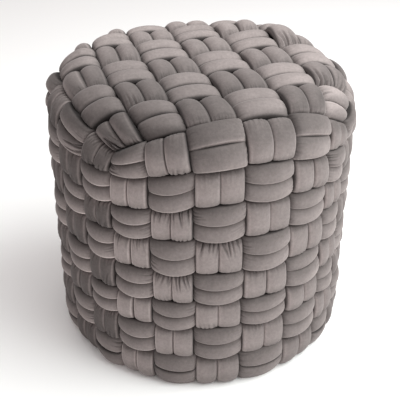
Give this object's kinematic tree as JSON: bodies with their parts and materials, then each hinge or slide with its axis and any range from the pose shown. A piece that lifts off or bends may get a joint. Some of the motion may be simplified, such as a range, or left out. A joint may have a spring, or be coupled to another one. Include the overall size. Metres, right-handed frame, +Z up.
{
  "type": "braided pouf",
  "caption": "Round padded floor pouf covered in a basket weave of paired stuffed velvet strands, flat underneath.",
  "frame": {"origin": "centre of the underside, on the floor", "axes": "+Z up, -Y towards the front, +X to the right along one set of the bands that cross the top"},
  "size_m": [0.4386, 0.4372, 0.4221],
  "materials": {
    "taupe_velvet": "short pile velvet, light rims on the folds"
  },
  "bodies": {
    "root": {"braided_body": "taupe_velvet"}
  },
  "joints": []
}
